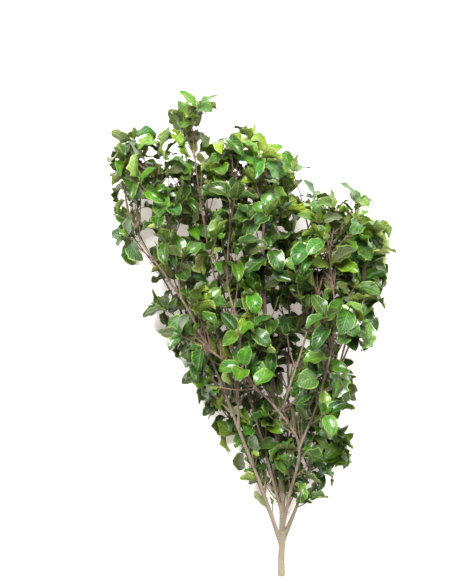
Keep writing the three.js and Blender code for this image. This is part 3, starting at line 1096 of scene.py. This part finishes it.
def leaf_side(name, greens, vein_colour, edge_colour, vein_share, relief, **finish):
    """The finish of one side of a leaf: its green, veins, edge, relief and the light it lets
    through."""
    material, tree, shader = new_material(name, **finish)
    side, along, seed = node(tree, "ShaderNodeSeparateXYZ",
                             {0: carried(tree, "blade", "Vector")}).outputs
    out = math(tree, "ABSOLUTE", side)
    place = object_place(tree)
    mottling = math(tree, "ADD", clouds(tree, place, scale=120, detail=4),
                    clouds(tree, place, scale=420, detail=1))
    # The carried tone holds the leaf's own tone and the painted shade of the fan's hollow and left
    # rim.
    tone_and_shade = math(tree, "ADD", carried(tree, "tone_and_shade"),
                math(tree, "MULTIPLY_ADD", mottling, mottling_depth, -mottling_depth), clamp=True)
    own_share = math(tree, "FRACT", math(tree, "MULTIPLY", seed, own_hue_step))
    hue_play = math(tree, "MULTIPLY_ADD", tone_and_shade, pale_hue_loss, deep_hue_play)
    own_green = node(tree, "ShaderNodeHueSaturation", {
        "Hue": math(tree, "MULTIPLY_ADD", own_share, hue_play, bluest_hue),
        "Saturation": math(tree, "MULTIPLY_ADD", math(tree, "FRACT", seed), saturation_play,
                           least_saturation),
        "Color": three_toned(tree, tone_and_shade, *greens)}).outputs[0]
    browned = math(tree, "MULTIPLY", math(tree, "GREATER_THAN", seed, browned_above),
                   browned_share)
    green = mixed(tree, browned, own_green, dry_brown)

    def fading(value, near, far):
        """1 up to the near value, falling to 0 at the far one."""
        return node(tree, "ShaderNodeMapRange", {0: value, 1: near, 2: far, 3: 1, 4: 0},
                    interpolation_type="SMOOTHSTEP").outputs[0]

    midrib = fading(out, *midrib_fade)
    slant = math(tree, "MULTIPLY_ADD", out, rib_slant, math(tree, "MULTIPLY", along, rib_count))
    rib_gap = math(tree, "PINGPONG", math(tree, "ADD", slant, ribs_before), 0.5)
    ribs = math(tree, "MULTIPLY", fading(rib_gap, *rib_fade), rib_share)
    net_place = node(tree, "ShaderNodeCombineXYZ",
                     {0: side, 1: math(tree, "MULTIPLY", along, net_stretch), 2: seed}).outputs[0]
    net_edge = node(tree, "ShaderNodeTexVoronoi", {"Vector": net_place, "Scale": net_scale},
                    feature="DISTANCE_TO_EDGE").outputs["Distance"]
    net = math(tree, "MULTIPLY", fading(net_edge, *net_fade), net_share)
    veins = math(tree, "MAXIMUM", midrib, math(tree, "MAXIMUM", ribs, net))
    veined = mixed(tree, math(tree, "MULTIPLY", veins, vein_share), green, vein_colour)
    margin = math(tree, "MULTIPLY", math(tree, "SUBTRACT", 1, fading(out, *margin_fade)),
                  margin_share)
    colour = mixed(tree, margin, veined, edge_colour)
    tree.links.new(colour, shader.inputs["Base Color"])
    quilting = math(tree, "MAXIMUM", veins, fading(rib_gap, *quilt_fade))
    pucker = math(tree, "MULTIPLY_ADD", clouds(tree, place, scale=260), pucker_height,
                  math(tree, "MULTIPLY", quilting, relief))
    crumple = math(tree, "MULTIPLY_ADD", clouds(tree, place, scale=95, detail=1),
                   crumple_height, pucker)
    rough_surface(tree, shader, crumple, strength=0.95, distance=0.0004)
    through = node(tree, "ShaderNodeBsdfTranslucent",
                   {"Color": mixed(tree, glow_share, colour, glow)})
    mix = node(tree, "ShaderNodeMixShader",
               {0: light_through, 1: shader.outputs[0], 2: through.outputs[0]})
    tree.links.new(mix.outputs[0], tree.nodes["Material Output"].inputs["Surface"])
    return material


leaf_upper = leaf_side(
    "leaf_upper",
    greens=[(0.005, 0.028, 0.001, 1), (0.038, 0.148, 0.003, 1), (0.17, 0.265, 0.028, 1)],
    vein_colour=(0.2, 0.33, 0.05, 1), edge_colour=(0.24, 0.35, 0.07, 1), vein_share=0.42,
    relief=-1.6, Roughness=0.5, Specular_IOR_Level=0.25, Coat_Weight=0.62, Coat_Roughness=0.28)
leaf_underside = leaf_side(
    "leaf_underside",
    greens=[(0.035, 0.065, 0.006, 1), (0.12, 0.2, 0.015, 1), (0.225, 0.3, 0.07, 1)],
    vein_colour=(0.42, 0.48, 0.14, 1), edge_colour=(0.38, 0.42, 0.1, 1), vein_share=0.6,
    relief=0.8, Roughness=0.5)
stalk_green = (0.2, 0.24, 0.06, 1)
stalk_red = (0.14, 0.07, 0.035, 1)
leaf_stalk, tree, shader = new_material("leaf_stalk", Roughness=0.5)
redness = clouds(tree, object_place(tree), scale=60)
tree.links.new(mixed(tree, redness, stalk_green, stalk_red), shader.inputs["Base Color"])

# A leaf is paler towards its limb's tip. Its tone also carries painted shade: it is darker in the
# fan's hollow and at its left rim, and paler, as if lit, where the fan is open and higher up.
tone_seed = 201
tip_paleness = 0.3
tip_falloff = 3
painted_light_outside_hollow = 0.43
painted_hollow_shade = 0.3
hollow_share = 0.55
hollow_width = 0.24
hollow_top = 430
hollow_fade = 260
painted_left_rim_shade = 0.5
rim_width = 0.18
tone_play = (-0.25, 0.3)
rare_paleness = (0, 0.85)
rarity = 4
flat_blade = blade_template()
straight_stalk = rod_template(stalk_sides, stalk_rings)
for index, limb in enumerate(limbs):
    draw = seeded_draw(index + tone_seed)
    foliage = bmesh.new()
    foliage.verts.layers.float_vector.new("blade")
    foliage.verts.layers.float.new("tone_and_shade")
    for leaf in limb["leaves"]:
        bar = leaf["bar"]
        tipward = 1 if bar is limb else bar["at"]
        left, right = fan_sides(leaf["root"].y)
        across_fan = (leaf["root"].x - left) / (right - left)
        # Painted shade: the tone is lowered towards the middle of the fan's hollow, and painted
        # light raises it away from the hollow and above its top.
        out_of_hollow_shade = max(abs(across_fan - hollow_share) / hollow_width,
                       (leaf["root"].y - hollow_top) / hollow_fade)
        # Painted shade at the fan's left rim: the leaves there are made darker.
        left_rim_shade_share = max(0, 1 - max(across_fan, 0) / rim_width)
        tone_and_shade = (tip_paleness * tipward ** tip_falloff + leaf["youth"]
                + painted_light_outside_hollow * min(out_of_hollow_shade, 1) - painted_hollow_shade - painted_left_rim_shade * left_rim_shade_share
                + draw(*tone_play) + draw(*rare_paleness) ** rarity)
        lay_leaf(foliage, leaf, min(max(tone_and_shade, 0), 1), draw(*own_number))
    new_piece(limb["name"] + "_leaves", foliage, [leaf_upper, leaf_underside, leaf_stalk], limb)


# Floor: the plain pale surface that the stem lies on. It is a wide round sheet, and its rim sweeps
# up into a backdrop that stands behind the stem in the low views.
floor_white = (0.9, 0.88, 0.87, 1)
floor_glow = (1, 0.89, 0.82, 1)
floor_radius = 5
floor_sides = 64
floor_drop = 0.0002
backdrop_steps = ((0.4, 0.06), (0.35, 0.24), (0.2, 0.4), (0.05, 0.5), (0, 1.2))
floor_material, tree, shader = new_material(
    "floor", Base_Color=floor_white, Emission_Color=floor_glow, Emission_Strength=0.42,
    Roughness=0.9)
floor_builder = bmesh.new()
bmesh.ops.create_circle(floor_builder, cap_ends=True, segments=floor_sides, radius=floor_radius)
for outward, rise in backdrop_steps:
    rim = [edge for edge in floor_builder.edges if edge.is_boundary]
    sweep = bmesh.ops.extrude_edge_only(floor_builder, edges=rim)["geom"]
    for vert in (item for item in sweep if isinstance(item, bmesh.types.BMVert)):
        vert.co += vert.co.xy.normalized().to_3d() * outward + up * rise
for face in floor_builder.faces:
    face.smooth = True
floor = new_object("floor", mesh_of("floor", floor_builder))
floor.data.materials.append(floor_material)
floor.location.z = -floor_drop

# Light: a large soft lamp high up beyond the tips and a little to the left, a much weaker one at
# the right, and a faint pale sky.
lit_place = Vector((0, 0, 0.05))
sky_colour = (0.93, 0.97, 1, 1)
sky_strength = 0.03
for name, place, size, power, colour in (
        ("key_lamp", (-0.6, 1.9, 2.9), 1.5, 400, (0.98, 0.99, 1)),
        ("side_lamp", (1.5, 0.3, 1.8), 1.4, 45, (0.94, 0.98, 1))):
    lamp = bpy.data.lights.new(name, "AREA")
    lamp.size = size
    lamp.energy = power
    lamp.color = colour
    lamp_object = new_object(name, lamp)
    lamp_object.location = place
    lamp_object.rotation_euler = (lit_place - Vector(place)).to_track_quat("-Z", "Y").to_euler()
world = bpy.data.worlds.new("pale_sky")
world.use_nodes = True
sky = world.node_tree.nodes["Background"]
sky.inputs["Color"].default_value = sky_colour
sky.inputs["Strength"].default_value = sky_strength
bpy.context.scene.world = world
bpy.context.scene.view_settings.view_transform = "Standard"
